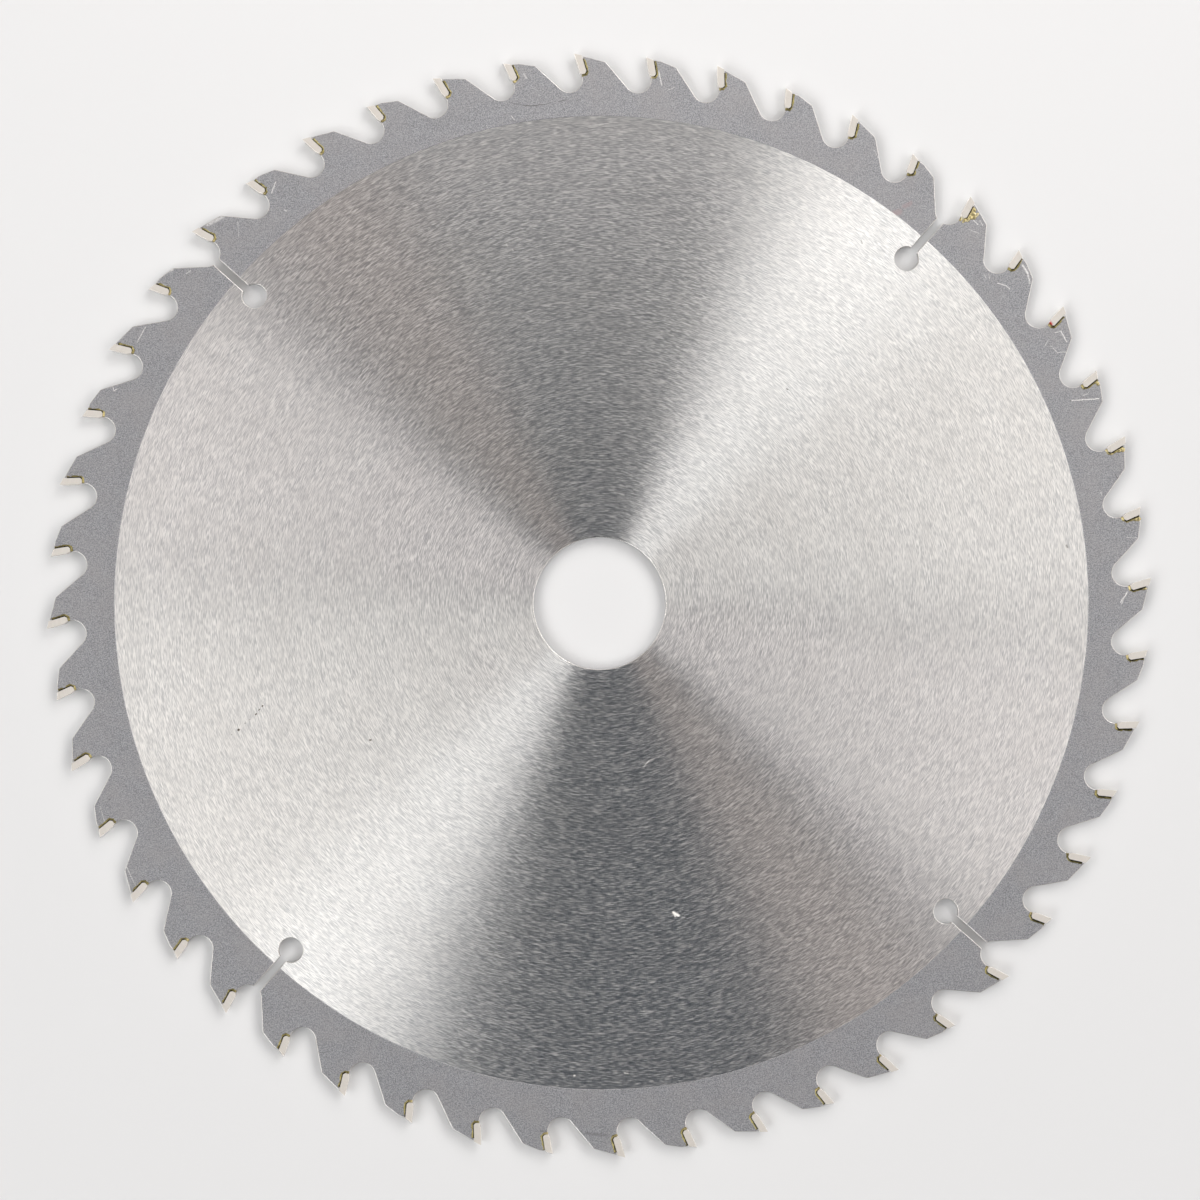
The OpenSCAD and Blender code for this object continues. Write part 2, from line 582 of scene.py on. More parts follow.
@dataclass(frozen=True)
class GroundSteel:
    """Steel ground in fine short strokes round the bore."""

    colour: Colour = (0.805, 0.798, 0.79)
    shade_colour: Colour = (0.585, 0.59, 0.603)
    cloud_colour: Colour = (0.66, 0.64, 0.625)
    # Painted shade, laid over the steel towards the bore.
    painted_middle_shade: Colour = (0.75, 0.75, 0.75)
    speck_colour: Colour = (0.1, 0.085, 0.07)
    painted_glint_colour: Colour = (0.95, 0.95, 0.93)
    light_share: float = 1.2
    fine_stroke: Pair = (1.2, 0.095)
    stroke: Pair = (2.1, 0.135)
    fine_share: float = 0.4
    line_span: Pair = (0.4, 0.6)
    broad_stroke: Pair = (10.0, 1.6)
    broad_span: Pair = (0.35, 0.7)
    broad_most: float = 0.3
    cloud: Pair = (20.0, 12.0)
    cloud_span: Pair = (0.4, 0.7)
    cloud_most: float = 0.16
    middle_span: Pair = (0.02, 0.1)
    middle_most: float = 0.6
    burr_span: Pair = (0.55, 0.63)
    burr_metal: float = 0.7
    roughness: float = 0.33
    rough_swing: float = 0.04
    rough_reach: Pair = (0.015, 0.11)
    rough_drift: Pair = (-0.012, 0.018)
    glint_rough: float = 0.35
    bump: Pair = (0.2, 0.02)
    anisotropy: float = 1.0
    centre: Vector = field(default_factory=lambda: BladeSizes().ground_centre)
    specks: tuple[Mark, ...] = Mark.rows(
        (44.61, 46.71, 44.83, 46.47, 0.16, 0.8), (-82.89, -24.83, -82.74, -24.72, 0.3, 1.0),
        (-78.88, -21.53, -78.6, -21.31, 0.2, 0.9), (-78.02, -20.57, -77.83, -20.4, 0.18, 0.9),
        (-77.3, -19.79, -77.11, -19.61, 0.22, 0.9), (-81.32, -23.41, -81.18, -23.32, 0.13, 0.6),
        (-80.24, -22.6, -80.1, -22.51, 0.12, 0.5), (-84.47, -25.87, -84.38, -25.8, 0.12, 0.5),
        (-53.37, -28.51, -53.14, -28.52, 0.3, 0.8), (106.28, 8.27, 106.48, 7.81, 0.28, 0.5),
        (63.13, 79.61, 63.33, 78.93, 0.16, 0.5),
    )
    # Painted highlights: spots made white and less metallic, so they show bright under any lamp.
    painted_glints: tuple[Mark, ...] = Mark.rows(
        (13.45, -70.65, 14.44, -71.24, 0.46, 1.0), (13.62, -70.87, 13.75, -71.51, 0.26, 0.9),
        (8.22, -37.35, 9.41, -36.11, 0.16, 0.5), (9.41, -36.11, 11.04, -35.55, 0.14, 0.3),
        (-10.75, -106.17, -10.52, -106.18, 0.26, 0.9), (0.59, -106.02, 1.48, -106.29, 0.18, 0.6),
        (-17.41, 82.44, -17.2, 81.98, 0.16, 0.7), (-16.11, 81.02, -15.9, 80.79, 0.16, 0.7),
    )

    def make(self) -> bpy.types.Material:
        """Makes the material.

        Returns:
            The material.
        """
        graph = ShaderGraph("ground_steel")
        place = graph.place(self.centre)
        unit, radius = graph.radial(place)
        fine = graph.noise(graph.rings(place, radius, *self.fine_stroke), 1.0, 0.0)
        strokes = graph.noise(graph.rings(place, radius, *self.stroke), 1.0, 1.0)
        broad = graph.noise(graph.rings(place, radius, *self.broad_stroke), 1.0, 2.0, 0.5)
        cloud = graph.noise(graph.rings(place, radius, *self.cloud), 1.0, 3.0, 0.6)
        thin = graph.math("MULTIPLY", fine, self.fine_share)
        thick = graph.math("MULTIPLY", strokes, 1.0 - self.fine_share)
        lines = graph.math("ADD", thin, thick)
        light = toned(self.colour, self.light_share)
        steel = graph.mix(graph.remap(lines, *self.line_span), self.shade_colour, light)
        worn = graph.remap(broad, *self.broad_span, 0.0, self.broad_most)
        steel = graph.mix(worn, steel, self.colour)
        dull = graph.remap(cloud, *self.cloud_span, 0.0, self.cloud_most)
        steel = graph.mix(dull, steel, self.cloud_colour)
        # Painted shade: the steel is darkened towards the bore, most within 20 mm of the ground
        # zone's middle.
        middle = graph.remap(radius, *self.middle_span, self.middle_most, 0.0)
        steel = graph.mix(middle, steel, self.painted_middle_shade, Mix.DARKEN)
        height = BladeSizes().ground_h
        steel = graph.mix(graph.marks(self.specks, height), steel, self.speck_colour)
        # Painted highlights: the glints turn white and lose metal, so they stay bright under any
        # lamp.
        painted_glint = graph.marks(self.painted_glints, height)
        steel = graph.mix(painted_glint, steel, self.painted_glint_colour)
        rough = graph.swing(lines, self.roughness, self.rough_swing)
        drift = graph.remap(radius, *self.rough_reach, *self.rough_drift)
        rough = graph.math("MULTIPLY_ADD", painted_glint, self.glint_rough, graph.math("ADD", rough, drift))
        burr = graph.remap(lines, *self.burr_span, 1.0, self.burr_metal)
        graph.shade(
            Base_Color=steel, Metallic=graph.math("SUBTRACT", burr, painted_glint), Roughness=rough,
            Anisotropic=self.anisotropy, Tangent=unit, Normal=graph.bump(lines, *self.bump),
        )
        return graph.material


@dataclass(frozen=True)
class BlastedSteel:
    """Matte steel of the rim, with a fine even grain."""

    colour: Colour = (0.352, 0.361, 0.385)
    cloud_colour: Colour = (0.43, 0.415, 0.42)
    stain_colour: Colour = (0.45, 0.34, 0.35)
    dent_colour: Colour = (0.13, 0.13, 0.135)
    scratch_colour: Colour = (0.92, 0.92, 0.92)
    dark_share: float = 0.62
    light_share: float = 1.45
    grain_scale: float = 3800.0
    grain_span: Pair = (0.34, 0.68)
    cloud_scale: float = 130.0
    cloud_span: Pair = (0.4, 0.7)
    cloud_most: float = 0.3
    worn_span: Pair = (0.25, 0.5)
    stain_wander: float = 0.9
    roughness: float = 0.52
    rough_swing: float = 0.08
    bump: Pair = (0.3, 0.03)
    scratches: tuple[Mark, ...] = Mark.rows(
        (109.16, 41.0, 115.28, 41.16, 0.16, 0.9), (111.7, 42.01, 113.08, 42.63, 0.12, 0.5),
        (106.02, 56.55, 107.4, 56.94, 0.14, 0.7), (107.4, 56.94, 108.64, 54.39, 0.18, 0.8),
        (104.36, 54.81, 103.63, 53.72, 0.12, 0.5), (104.98, 53.65, 106.28, 52.23, 0.12, 0.6),
        (106.27, 52.01, 108.31, 52.14, 0.12, 0.6), (93.66, 68.45, 95.66, 67.68, 0.14, 0.8),
        (95.22, 67.93, 96.31, 66.97, 0.14, 0.7), (99.5, 72.26, 100.55, 70.4, 0.3, 0.8),
        (100.55, 70.4, 100.9, 68.12, 0.25, 0.7), (90.59, 70.64, 91.0, 69.71, 0.12, 0.5),
        (91.72, 70.58, 91.89, 69.44, 0.12, 0.5), (88.89, 82.95, 89.76, 82.0, 0.16, 0.8),
        (90.25, 82.89, 90.88, 81.73, 0.14, 0.6), (87.67, 80.97, 89.89, 79.96, 0.12, 0.4),
        (67.03, 100.05, 67.85, 98.2, 0.14, 0.4), (119.58, -3.0, 117.89, -5.18, 0.18, 0.9),
        (118.86, -3.87, 118.1, -5.65, 0.14, 0.6), (119.93, 9.45, 122.63, 9.1, 0.1, 0.5),
        (114.54, 20.35, 114.94, 19.2, 0.12, 0.6), (19.02, 120.18, 19.55, 116.99, 0.18, 0.7),
        (20.85, 115.79, 22.47, 116.4, 0.12, 0.4), (-14.92, 111.56, -14.29, 110.62, 0.12, 0.6),
        (-20.68, 109.56, -20.05, 108.4, 0.12, 0.5), (-78.0, 90.24, -77.93, 86.84, 0.12, 0.5),
        (-90.08, 79.02, -89.14, 79.65, 0.14, 0.6), (-99.92, 67.24, -101.88, 63.93, 0.18, 0.6),
        (-107.99, 54.47, -107.6, 53.09, 0.14, 0.8), (-107.6, 53.09, -106.9, 53.51, 0.14, 0.8),
        (-68.99, 98.89, -70.01, 96.44, 0.22, 0.6), (-67.25, 92.46, -66.81, 92.21, 0.16, 0.7),
        (-84.82, 89.88, -81.34, 91.53, 0.5, 0.55), (-95.03, 79.7, -93.2, 80.07, 0.45, 0.6),
        (-11.54, 120.92, -11.13, 120.0, 0.3, 0.4), (-109.47, -54.32, -108.5, -56.66, 0.14, 0.7),
        (-108.5, -56.66, -107.6, -58.76, 0.12, 0.5), (-114.77, -40.57, -113.87, -44.1, 0.12, 0.45),
    )
    dents: tuple[Mark, ...] = Mark.rows(
        (-14.79, 114.5, -12.77, 113.95, 0.12, 0.6), (-12.77, 113.95, -10.3, 113.61, 0.14, 0.7),
        (-10.3, 113.61, -8.02, 113.73, 0.14, 0.7), (-8.02, 113.73, -5.74, 114.08, 0.12, 0.5),
        (-4.15, 114.23, -2.32, 114.6, 0.14, 0.6), (118.1, 23.81, 118.73, 22.65, 0.18, 0.6),
        (78.6, 90.68, 79.68, 89.5, 0.12, 0.5), (-18.79, -118.26, -14.51, -118.91, 0.4, 0.3),
        (-8.63, -119.19, -4.13, -119.85, 0.5, 0.35), (-112.56, -39.22, -112.46, -39.14, 0.18, 0.7),
        (-110.98, -1.36, -110.89, -1.32, 0.16, 0.7), (-110.22, -1.58, -110.13, -1.54, 0.16, 0.7),
    )
    stains: tuple[Mark, ...] = Mark.rows(
        (70.42, 85.17, 72.03, 85.77, 0.9, 0.5), (73.21, 86.85, 74.6, 87.47, 0.7, 0.4),
    )

    def make(self) -> bpy.types.Material:
        """Makes the material.

        Returns:
            The material.
        """
        graph = ShaderGraph("rim_steel")
        place = graph.place()
        grain = graph.noise(place, self.grain_scale, 2.0, 0.7)
        cloud = graph.noise(place, self.cloud_scale, 3.0, 0.55)
        dark = toned(self.colour, self.dark_share)
        light = toned(self.colour, self.light_share)
        steel = graph.mix(graph.remap(grain, *self.grain_span), dark, light)
        dull = graph.remap(cloud, *self.cloud_span, 0.0, self.cloud_most)
        steel = graph.mix(dull, steel, self.cloud_colour)
        height = BladeSizes().plate_h
        worn = graph.remap(grain, *self.worn_span)
        bright = graph.math("MULTIPLY", graph.marks(self.scratches, height), worn)
        stain = graph.marks(self.stains, height, self.stain_wander)
        steel = graph.mix(stain, steel, self.stain_colour)
        steel = graph.mix(graph.marks(self.dents, height), steel, self.dent_colour)
        steel = graph.mix(bright, steel, self.scratch_colour)
        graph.shade(
            Base_Color=steel, Metallic=1.0,
            Roughness=graph.swing(grain, self.roughness, self.rough_swing),
            Normal=graph.bump(grain, *self.bump),
        )
        return graph.material


@dataclass(frozen=True)
class CutSteel:
    """Steel walls left by cutting, with fine lines across the plate."""

    name: str = "cut_edge"
    colour: Colour = (0.72, 0.71, 0.70)
    roughness: float = 0.34
    stain_colour: Colour = (0.34, 0.29, 0.24)
    dark_share: float = 0.7
    line_scale: float = 5200.0
    line_stretch: tuple[float, float, float] = (1.0, 1.0, 0.12)
    line_span: Pair = (0.35, 0.65)
    stain_scale: float = 420.0
    stain_span: Pair = (0.45, 0.7)
    stain_most: float = 0.3
    rough_swing: float = 0.06
    bump: Pair = (0.3, 0.02)

    def make(self) -> bpy.types.Material:
        """Makes the material.

        Returns:
            The material.
        """
        graph = ShaderGraph(self.name)
        place = graph.place()
        flat = graph.vector("MULTIPLY", place, self.line_stretch).outputs[0]
        lines = graph.noise(flat, self.line_scale, 2.0)
        stain = graph.noise(place, self.stain_scale, 2.0)
        dark = toned(self.colour, self.dark_share)
        steel = graph.mix(graph.remap(lines, *self.line_span), dark, self.colour)
        dull = graph.remap(stain, *self.stain_span, 0.0, self.stain_most)
        steel = graph.mix(dull, steel, self.stain_colour)
        graph.shade(
            Base_Color=steel, Metallic=1.0,
            Roughness=graph.swing(lines, self.roughness, -self.rough_swing),
            Normal=graph.bump(lines, *self.bump),
        )
        return graph.material


@dataclass(frozen=True)
class GroundCarbide:
    """Sintered carbide with finely ground faces."""

    colour: Colour = (0.935, 0.895, 0.84)
    grain_colour: Colour = (0.84, 0.79, 0.72)
    paint_colour: Colour = (0.62, 0.04, 0.035)
    dark_share: float = 0.95
    stroke: Pair = (4.0, 0.3)
    grain_scale: float = 900.0
    grain_span: Pair = (0.5, 0.75)
    grain_most: float = 0.2
    metal: float = 0.4
    roughness: float = 0.24
    rough_swing: float = 0.02
    paint: tuple[Mark, ...] = Mark.rows((104.6, 58.9, 105.0, 58.5, 0.8, 1.0))
    paint_h: float = 1.5
    paint_wander: float = 0.5

    def make(self) -> bpy.types.Material:
        """Makes the material.

        Returns:
            The material.
        """
        graph = ShaderGraph("ground_carbide")
        place = graph.place()
        radius = graph.radial(place)[1]
        lines = graph.noise(graph.rings(place, radius, *self.stroke), 1.0, 1.0)
        grain = graph.noise(place, self.grain_scale, 3.0)
        dark = toned(self.colour, self.dark_share)
        carbide = graph.mix(graph.remap(lines, *graph.USUAL), dark, self.colour)
        dull = graph.remap(grain, *self.grain_span, 0.0, self.grain_most)
        carbide = graph.mix(dull, carbide, self.grain_colour)
        red = graph.marks(self.paint, self.paint_h, self.paint_wander)
        carbide = graph.mix(red, carbide, self.paint_colour)
        rough = graph.swing(lines, self.roughness, -self.rough_swing)
        graph.shade(Base_Color=carbide, Metallic=self.metal, Roughness=rough)
        return graph.material


@dataclass(frozen=True)
class BrazeMetal:
    """Silver-brass braze: painted shade in the crease next to the tip, olive outside, gold where
    bare.
    """

    olive: Colour = (0.22, 0.195, 0.085)
    gold: Colour = (0.44, 0.38, 0.20)
    pale: Colour = (0.80, 0.75, 0.55)
    # Painted shade: the dark colour laid in the crease next to each tip.
    crease_shade_colour: Colour = (0.03, 0.028, 0.02)
    blotch_scale: float = 1300.0
    grain_scale: float = 5200.0
    gild_wander: float = 1.6
    gold_span: Pair = (0.25, 0.7)
    pale_span: Pair = (0.95, 1.3)
    crease_shade_wander: float = 0.8
    crease_shade_span: Pair = (0.46, 0.66)
    metal: float = 0.95
    rough_span: Pair = (0.26, 0.45)
    bump: Pair = (0.3, 0.03)

    def make(self) -> bpy.types.Material:
        """Makes the material.

        Returns:
            The material.
        """
        graph = ShaderGraph("braze_metal")
        place = graph.place()
        blotch = graph.noise(place, self.blotch_scale, 3.0, 0.6)
        grain = graph.noise(place, self.grain_scale, 2.0)
        gild = graph.node("ShaderNodeAttribute", attribute_name="gild").outputs["Fac"]
        crease_shade = graph.node("ShaderNodeAttribute", attribute_name="crease_shade").outputs["Fac"]
        wander = graph.math("SUBTRACT", blotch, 0.5)
        bare = graph.math("MULTIPLY_ADD", wander, self.gild_wander, gild)
        metal = graph.mix(graph.remap(bare, *self.gold_span), self.olive, self.gold)
        metal = graph.mix(graph.remap(bare, *self.pale_span), metal, self.pale)
        # Painted shade: darkens the braze in the crease next to each tip, fading outwards.
        black = graph.math("MULTIPLY_ADD", wander, self.crease_shade_wander, crease_shade)
        metal = graph.mix(graph.remap(black, *self.crease_shade_span), metal, self.crease_shade_colour)
        graph.shade(
            Base_Color=metal, Metallic=self.metal,
            Roughness=graph.remap(grain, *graph.USUAL, *self.rough_span),
            Normal=graph.bump(grain, *self.bump),
        )
        return graph.material


@dataclass(frozen=True)
class FloorPaint:
    """Plain pale floor."""

    colour: Colour = (0.73, 0.752, 0.778)
    dark_share: float = 0.985
    cloud_scale: float = 9.0
    roughness: float = 0.8
    gloss: float = 0.1

    def make(self) -> bpy.types.Material:
        """Makes the material.

        Returns:
            The material.
        """
        graph = ShaderGraph("floor_paint")
        cloud = graph.noise(graph.place(), self.cloud_scale, 3.0)
        dark = toned(self.colour, self.dark_share)
        graph.shade(
            Base_Color=graph.mix(cloud, dark, self.colour), Roughness=self.roughness,
            Specular_IOR_Level=self.gloss,
        )
        return graph.material


class Piece:
    """Common steps that turn a finished bmesh into a piece of the object."""

    @staticmethod
    def finish(
        name: str, bm: BMesh, materials: list[bpy.types.Material], smooth_a: float = 30.0
    ) -> bpy.types.Object:
        """Makes an object of a mesh in millimetres.

        Args:
            name: Name of the piece.
            bm: The mesh, which is freed.
            materials: Materials in the order of the faces' numbers.
            smooth_a: Edges that turn more than this many degrees stay sharp.

        Returns:
            The object, linked to the scene.
        """
        bmesh.ops.scale(bm, vec=(MM, MM, MM), verts=bm.verts)
        mesh = bpy.data.meshes.new(name)
        bm.to_mesh(mesh)
        bm.free()
        for material in materials:
            mesh.materials.append(material)
        mesh.polygons.foreach_set("use_smooth", [True] * len(mesh.polygons))
        mesh.set_sharp_from_angle(angle=math.radians(smooth_a))
        made = bpy.data.objects.new(name, mesh)
        bpy.context.scene.collection.objects.link(made)
        return made


@dataclass
class SawPlate:
    """The steel plate with gullets, tip seats, expansion slots and bore."""

    sizes: BladeSizes = field(default_factory=BladeSizes)
    edge_bevel: float = 0.1
    bevel_steps: int = 2
    mitre_a: float = 22.5
    join: float = 0.002
    top_z: float = 0.9
    # Between the ground zone's run-out, 0.938, and the bevelled shoulders, 0.935.
    flat_z: float = 0.9365
    smooth_a: float = 20.0
    gullet_steps: int = 26
    corner_steps: int = 5
    hole_steps: int = 22
    bore_steps: int = 60
    ground_steps: int = 130

    def ground_cross(self, tooth: int, side: int, radius: float) -> Vector:
        """Finds where a slot's side crosses a circle round the ground zone's middle.

        Args:
            tooth: Tooth whose gullet holds the slot.
            side: 1 for the side ahead, -1 for the side behind.
            radius: Radius of the circle.

        Returns:
            The point in the slot's frame.
        """
        s = self.sizes
        centre = turned(-(s.tooth_a(tooth) + s.gullet_a)) @ s.ground_centre
        y = side * s.slot_w / 2
        return Vector((centre.x + math.sqrt(radius ** 2 - (y - centre.y) ** 2), y, 0.0))

    def shoulder_points(self, tooth: int, height: float) -> tuple[Vector, Vector]:
        """Finds the two ends of the ground shoulder behind a tip.

        Args:
            tooth: Number of the tooth.
            height: Height across the plate.

        Returns:
            The end at the seat and the end at the tooth's back, in the tooth's frame.
        """
        s = self.sizes
        hook = math.radians(s.hook_a)
        slope = s.high_side(tooth) * math.tan(math.radians(s.bevel_a))
        x = s.blade_r - s.shoulder_drop + slope * height
        back = s.tip_t + s.braze_t
        up = (x - s.blade_r - back * math.sin(hook)) / math.cos(hook)
        seat = s.tip_point(back, up, height)
        y = (x - s.blade_r) / math.tan(math.radians(s.land_a))
        return seat, Vector((x, y, height))

    def corner(self) -> tuple[Vector, Vector, float]:
        """Finds the rounding between a tooth's back and the flank of the gullet behind.

        Returns:
            The arc's start, its centre and its sweep in degrees, in the tooth's frame.
        """
        s = self.sizes
        land, flank = math.radians(s.land_a), math.radians(s.flank_a)
        turn = turned(-s.pitch_a)
        edge = Vector((s.blade_r, 0.0, 0.0))
        p = Vector((-math.cos(land), math.sin(land), 0.0))
        q = Vector((-math.sin(flank), math.cos(flank), 0.0))
        foot = turn @ (s.gullet_centre + s.reach * q)
        q = turn @ q
        depth = s.corner_r - s.sink
        p_far, q_far = depth + edge.dot(p), depth + foot.dot(q)
        area = p.x * q.y - p.y * q.x
        x = (p_far * q.y - q_far * p.y) / area
        y = (q_far * p.x - p_far * q.x) / area
        centre = Vector((x, y, 0.0))
        lap = math.acos(depth / s.corner_r)
        start = centre + Matrix.Rotation(-lap, 4, "Z") @ (-s.corner_r * p)
        sweep = -(p.angle(q) - 2 * lap)
        return start, centre, math.degrees(sweep)

    def draw_tooth(self, pen: OutlinePen, tooth: int) -> None:
        """Draws one tooth, from the gullet's wall below its tip to the flank behind it.

        Args:
            pen: Pen that draws the outline.
            tooth: Number of the tooth.
        """
        s = self.sizes
        pen.turn(s.tooth_a(tooth))
        hook, mitre = math.radians(s.hook_a), math.tan(math.radians(self.mitre_a))
        wall_y = s.gullet_centre.y - s.reach
        low = -s.tip_len - s.braze_t
        pen.line(s.tip_point((low * math.sin(hook) - wall_y) / math.cos(hook), low))
        pen.line(s.tip_point(s.tip_t - s.heel_corner + s.braze_t * mitre, low))
        up = s.heel_corner - s.tip_len - s.braze_t * mitre
        pen.line(s.tip_point(s.tip_t + s.braze_t, up))
        shoulder = pen.bm.verts.layers.int["shoulder"]
        for number, point in enumerate(self.shoulder_points(tooth, 0.0)):
            pen.line(point)[shoulder] = 2 * tooth + number
        start, centre, sweep = self.corner()
        pen.line(start)
        pen.arc(centre, sweep, self.corner_steps)
        pen.turn(s.tooth_a(tooth - 1))
        flank = math.radians(s.flank_a)
        lap = math.acos(s.reach / s.gullet_r)
        towards = math.pi / 2 + flank - lap
        rim = Vector((math.cos(towards), math.sin(towards), 0.0))
        pen.line(s.gullet_centre + s.gullet_r * rim)

    def draw_rim(self, bm: BMesh, ahead: int, behind: int) -> list[BMEdge]:
        """Draws the toothed rim between two slots.

        Args:
            bm: Mesh to draw in.
            ahead: Tooth of the slot at the forward end.
            behind: Tooth of the slot at the rear end.

        Returns:
            The edges next to the ground zone.
        """
        s = self.sizes
        half, edge_r = s.slot_w / 2, s.ground_d / 2
        lap = math.degrees(math.acos(s.reach / s.gullet_r))
        mouth = math.degrees(math.asin(half / s.gullet_r))
        flank_at, wall_at = 90 + s.flank_a - lap, 270 + lap
        mouth_x = s.gullet_centre.length - math.sqrt(s.gullet_r ** 2 - half ** 2)
        pen = OutlinePen(bm)
        pen.turn(s.tooth_a(ahead) + s.gullet_a)
        pen.line(self.ground_cross(ahead, -1, edge_r))
        pen.line(Vector((mouth_x, -half, 0.0)))
        pen.turn(s.tooth_a(ahead))
        pen.arc(s.gullet_centre, wall_at - (180 + s.gullet_a + mouth), self.gullet_steps // 2)
        for tooth in range(ahead if ahead > behind else ahead + s.teeth, behind, -1):
            self.draw_tooth(pen, tooth)
            if tooth - 1 > behind:
                pen.arc(s.gullet_centre, wall_at - flank_at, self.gullet_steps)
        pen.arc(s.gullet_centre, 180 + s.gullet_a - mouth - flank_at, self.gullet_steps // 4)
        pen.turn(s.tooth_a(behind) + s.gullet_a)
        ring = self.draw_ground_edge(pen, ahead, behind, edge_r)
        pen.fill(Zone.RIM)
        return ring

    def draw_ground_edge(
        self, pen: OutlinePen, ahead: int, behind: int, radius: float
    ) -> list[BMEdge]:
        """Draws up a slot's side to the ground zone's edge and along it to the next slot.

        Args:
            pen: Pen that draws the outline.
            ahead: Tooth of the next slot.
            behind: Tooth of the slot with the side.
            radius: Radius of the edge.

        Returns:
            The edges along the zone.
        """
        s = self.sizes
        start = pen.line(self.ground_cross(behind, 1, radius)).co - s.ground_centre
        turn = turned(s.tooth_a(ahead) + s.gullet_a)
        end = turn @ self.ground_cross(ahead, -1, radius) - s.ground_centre
        sweep = math.degrees(math.atan2(end.y, end.x) - math.atan2(start.y, start.x)) % 360
        pen.turn(0)
        pen.arc(s.ground_centre, sweep, self.ground_steps)
        ring = pen.path[-self.ground_steps - 1:]
        return [pen.bm.edges.get(pair) for pair in zip(ring, ring[1:])]

    def draw_ground(self, bm: BMesh, ahead: int, behind: int) -> list[BMEdge]:
        """Draws the ground zone between two slots, from the rim to the bore.

        Args:
            bm: Mesh to draw in.
            ahead: Tooth of the slot at the forward end.
            behind: Tooth of the slot at the rear end.

        Returns:
            The edges next to the rim.
        """
        s = self.sizes
        half, hole_r = s.slot_w / 2, s.slot_hole_d / 2
        edge_r = s.ground_d / 2 - s.ground_runout
        neck = math.degrees(math.asin(half / hole_r))
        neck_x = s.slot_hole_r + math.sqrt(hole_r ** 2 - half ** 2)
        hole = Vector((s.slot_hole_r, 0.0, 0.0))
        floor = Vector((s.slot_hole_r - hole_r, 0.0, 0.0))
        pen = OutlinePen(bm)
        pen.turn(s.tooth_a(ahead) + s.gullet_a)
        pen.line(self.ground_cross(ahead, -1, edge_r))
        pen.line(Vector((neck_x, -half, 0.0)))
        pen.arc(hole, neck - 180, self.hole_steps)
        pen.line(Vector((s.bore_d / 2, 0.0, 0.0)))
        pen.arc(Vector(), -360 / s.slots, self.bore_steps)
        pen.turn(s.tooth_a(behind) + s.gullet_a)
        pen.line(floor)
        pen.arc(hole, neck - 180, self.hole_steps)
        ring = self.draw_ground_edge(pen, ahead, behind, edge_r)
        pen.fill(Zone.GROUND)
        bmesh.ops.translate(bm, vec=(0, 0, s.ground_depth), verts=pen.path)
        return ring

    def grind_shoulders(self, bm: BMesh) -> None:
        """Moves the shoulders' corners on both faces onto each tip's bevel.

        Args:
            bm: The plate's mesh.
        """
        s = self.sizes
        layer = bm.verts.layers.int["shoulder"]
        for vert in bm.verts:
            if vert[layer]:
                tooth, number = divmod(vert[layer], 2)
                point = self.shoulder_points(tooth, vert.co.z)[number]
                vert.co = turned(s.tooth_a(tooth)) @ point

    def is_rim(self, edge: BMEdge) -> bool:
        """Tells whether an edge lies between a face of the plate and a wall."""
        return sum(abs(f.normal.z) > self.top_z for f in edge.link_faces) == 1

    def zone_of(self, face: BMFace) -> Zone:
        """Tells which zone a face of the finished plate belongs to.

        Args:
            face: A face of the plate.

        Returns:
            Its zone.
        """
        if abs(face.normal.z) > self.flat_z:
            return Zone(face.material_index)
        near = face.calc_center_median().xy.length < self.sizes.bore_d
        return Zone.BORE if near else Zone.EDGE

    def build(self) -> BMesh:
        """Builds the plate in millimetres.

        Returns:
            The closed mesh with its faces numbered by zone.
        """
        s = self.sizes
        bm = bmesh.new()
        bm.verts.layers.int.new("shoulder")
        slots = [s.slot_tooth(k) for k in range(s.slots)]
        for behind, ahead in zip(slots, slots[1:] + slots[:1]):
            ring = self.draw_rim(bm, ahead, behind) + self.draw_ground(bm, ahead, behind)
            bmesh.ops.bridge_loops(bm, edges=ring)
        bmesh.ops.remove_doubles(bm, verts=bm.verts, dist=self.join)
        bmesh.ops.translate(bm, vec=(0, 0, -s.plate_h), verts=bm.verts)
        made = bmesh.ops.extrude_face_region(bm, geom=bm.faces[:])["geom"]
        upper = [v for v in made if isinstance(v, BMVert)]
        bmesh.ops.scale(bm, vec=(1, 1, -1), verts=upper)
        bmesh.ops.recalc_face_normals(bm, faces=bm.faces)
        self.grind_shoulders(bm)
        bm.normal_update()
        rims = [e for e in bm.edges if e.is_manifold and self.is_rim(e)]
        bmesh.ops.bevel(
            bm, geom=rims, offset=self.edge_bevel, offset_type="OFFSET", segments=self.bevel_steps,
            profile=0.5, affect="EDGES", clamp_overlap=False, material=-1,
        )
        bm.normal_update()
        for face in bm.faces:
            face.material_index = int(self.zone_of(face))
        return bm

    def dress(self) -> bpy.types.Object:
        """Makes the plate's piece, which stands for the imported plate.

        Returns:
            The plate's object.
        """
        steels = [
            GroundSteel().make(),
            BlastedSteel().make(),
            CutSteel().make(),
            CutSteel("bore_wall", (0.66, 0.65, 0.64), 0.28).make(),
        ]
        made = Piece.finish("blade_plate", self.build(), steels, self.smooth_a)
        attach(made, "root")
        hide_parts("saw_plate")
        return made


